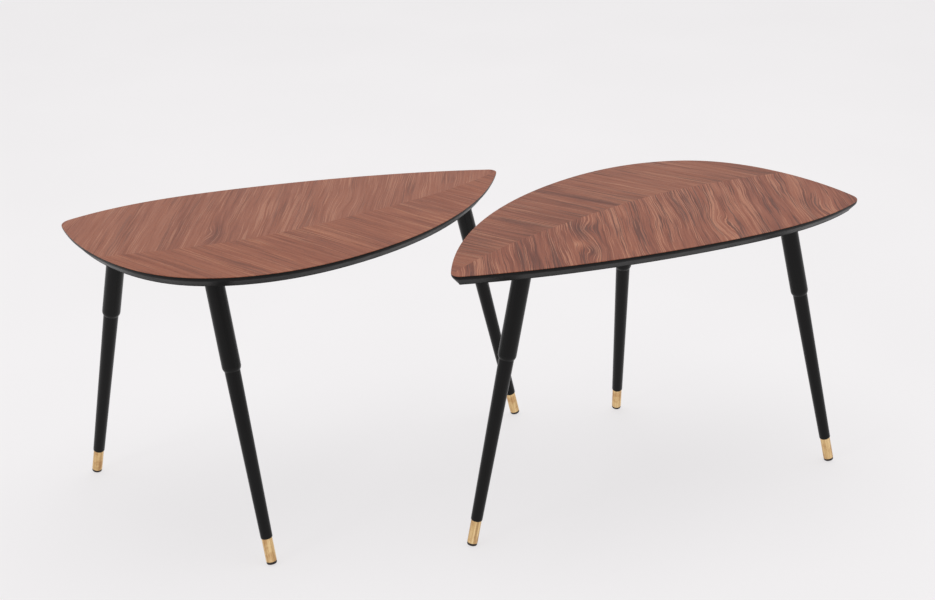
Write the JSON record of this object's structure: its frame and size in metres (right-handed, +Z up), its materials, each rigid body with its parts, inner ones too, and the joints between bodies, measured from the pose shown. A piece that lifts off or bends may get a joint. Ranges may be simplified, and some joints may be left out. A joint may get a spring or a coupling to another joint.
{
  "type": "nesting tables",
  "caption": "Leaf-shaped side tables standing side by side, with herringbone-veneered tops, dark rounded edges and splayed turned legs that end in brass ferrules.",
  "frame": {"origin": "floor level, at the middle of the pair's outer box", "axes": "+X to the right along the longest extent, from the left table to the right table; +Z up; the front faces -Y"},
  "size_m": [1.3834, 0.5744, 0.51],
  "materials": {
    "walnut_veneer": "satin lacquer",
    "black_stained_board": "black stain, satin lacquer",
    "backing_sheet": "matt black sheet",
    "black_stained_wood": "black stain, satin lacquer",
    "brass": "satin",
    "glide_plastic": "matt",
    "black_steel": "black powder coat",
    "zinc_steel": "bright zinc"
  },
  "bodies": {
    "left_table": {"left_top_core": "black_stained_board", "left_top_veneer_straight_half": "walnut_veneer", "left_top_veneer_round_half": "walnut_veneer", "left_top_backing_sheet": "backing_sheet", "left_base_mounting_plate": "black_steel", "left_base_plate_screws": "zinc_steel", "left_side_mounting_plate": "black_steel", "left_side_plate_screws": "zinc_steel", "left_tip_mounting_plate": "black_steel", "left_tip_plate_screws": "zinc_steel"},
    "left_base_leg_assembly": {"left_base_leg": "black_stained_wood", "left_base_leg_ferrule": "brass", "left_base_leg_glide": "glide_plastic", "left_base_leg_bolt": "zinc_steel"},
    "left_side_leg_assembly": {"left_side_leg": "black_stained_wood", "left_side_leg_ferrule": "brass", "left_side_leg_glide": "glide_plastic", "left_side_leg_bolt": "zinc_steel"},
    "left_tip_leg_assembly": {"left_tip_leg": "black_stained_wood", "left_tip_leg_ferrule": "brass", "left_tip_leg_glide": "glide_plastic", "left_tip_leg_bolt": "zinc_steel"},
    "right_table": {"right_top_core": "black_stained_board", "right_top_veneer_straight_half": "walnut_veneer", "right_top_veneer_round_half": "walnut_veneer", "right_top_backing_sheet": "backing_sheet", "right_base_mounting_plate": "black_steel", "right_base_plate_screws": "zinc_steel", "right_side_mounting_plate": "black_steel", "right_side_plate_screws": "zinc_steel", "right_tip_mounting_plate": "black_steel", "right_tip_plate_screws": "zinc_steel"},
    "right_base_leg_assembly": {"right_base_leg": "black_stained_wood", "right_base_leg_ferrule": "brass", "right_base_leg_glide": "glide_plastic", "right_base_leg_bolt": "zinc_steel"},
    "right_side_leg_assembly": {"right_side_leg": "black_stained_wood", "right_side_leg_ferrule": "brass", "right_side_leg_glide": "glide_plastic", "right_side_leg_bolt": "zinc_steel"},
    "right_tip_leg_assembly": {"right_tip_leg": "black_stained_wood", "right_tip_leg_ferrule": "brass", "right_tip_leg_glide": "glide_plastic", "right_tip_leg_bolt": "zinc_steel"}
  },
  "joints": [
    {"name": "tables_apart", "type": "slide", "parent": "left_table", "child": "right_table", "axis": [1, 0, 0], "range_m": [0, 0.3]},
    {"name": "left_base_leg_unscrew", "type": "slide", "parent": "left_table", "child": "left_base_leg_assembly", "axis": [-0.213, 0.0951, -0.9724], "range_m": [0, 0.03]},
    {"name": "left_side_leg_unscrew", "type": "slide", "parent": "left_table", "child": "left_side_leg_assembly", "axis": [0.1381, -0.1491, -0.9791], "range_m": [0, 0.03]},
    {"name": "left_tip_leg_unscrew", "type": "slide", "parent": "left_table", "child": "left_tip_leg_assembly", "axis": [0.2005, 0.0917, -0.9754], "range_m": [0, 0.03]},
    {"name": "right_base_leg_unscrew", "type": "slide", "parent": "right_table", "child": "right_base_leg_assembly", "axis": [0.2213, -0.037, -0.9745], "range_m": [0, 0.03]},
    {"name": "right_side_leg_unscrew", "type": "slide", "parent": "right_table", "child": "right_side_leg_assembly", "axis": [-0.004, 0.21, -0.9777], "range_m": [0, 0.03]},
    {"name": "right_tip_leg_unscrew", "type": "slide", "parent": "right_table", "child": "right_tip_leg_assembly", "axis": [-0.1772, -0.1104, -0.978], "range_m": [0, 0.03]}
  ]
}
